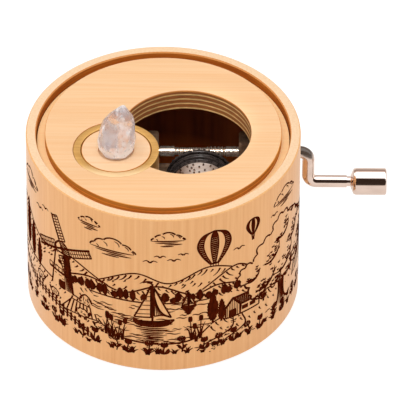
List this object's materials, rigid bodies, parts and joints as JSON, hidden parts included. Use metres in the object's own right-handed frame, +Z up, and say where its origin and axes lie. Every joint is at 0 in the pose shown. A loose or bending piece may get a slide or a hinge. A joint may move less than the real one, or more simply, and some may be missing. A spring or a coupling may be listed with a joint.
{
  "type": "hand cranked music box",
  "caption": "Round bamboo music box with a bent crank on one side, an open movement seen through a round window in its top, and a quartz drop standing in a brass ring.",
  "frame": {"origin": "centre of the round base, on the surface that the box stands on", "axes": "+Z up along the case's axis, +X towards the crank's knob"},
  "size_m": [0.0927, 0.07, 0.065],
  "materials": {
    "bamboo": "sanded bamboo tube with fine upright grain and dark laser engraving",
    "plywood": "light plywood with burnt laser-cut edges",
    "brass": "brushed brass",
    "quartz": "milky rough quartz",
    "steel": "plain machined steel",
    "cast_zinc": "die-cast zinc, as cast",
    "nickel": "polished nickel plate",
    "black_plastic": "black moulded nylon"
  },
  "bodies": {
    "case": {"case_tube": "bamboo", "top_panel": "plywood", "brass_ring": "brass", "crystal_disc": "plywood", "crystal": "quartz", "base_plate": "plywood", "mount_screw_1": "steel", "mount_screw_2": "steel", "mount_screw_3": "steel", "movement_frame": "cast_zinc", "front_bracket": "steel", "bracket_screw_1": "steel", "bracket_screw_2": "steel", "comb_base": "brass", "comb": "steel", "comb_screw_1": "steel", "comb_screw_2": "steel", "comb_screw_3": "steel"},
    "crank": {"crank_rod": "nickel", "retaining_clip": "steel"},
    "cylinder": {"music_cylinder": "steel", "cylinder_cap": "brass", "cylinder_arbor": "steel", "drive_wheel": "black_plastic"},
    "knob": {"crank_knob": "nickel"}
  },
  "joints": [
    {"name": "crank_spin", "type": "hinge", "parent": "case", "child": "crank", "pos_m": [0.03735, 0.016, 0.0309], "axis": [1, 0, 0], "continuous": true},
    {"name": "cylinder_spin", "type": "hinge", "parent": "case", "child": "cylinder", "pos_m": [0.0094, 0.00086, 0.0241], "axis": [0, 1, 0], "continuous": true},
    {"name": "knob_spin", "type": "hinge", "parent": "crank", "child": "knob", "pos_m": [0.0484, 0.016, 0.02118], "axis": [1, 0, 0], "continuous": true}
  ],
  "couplings": [
    {"joint": "cylinder_spin", "follows": "crank_spin", "ratio": -0.05}
  ]
}
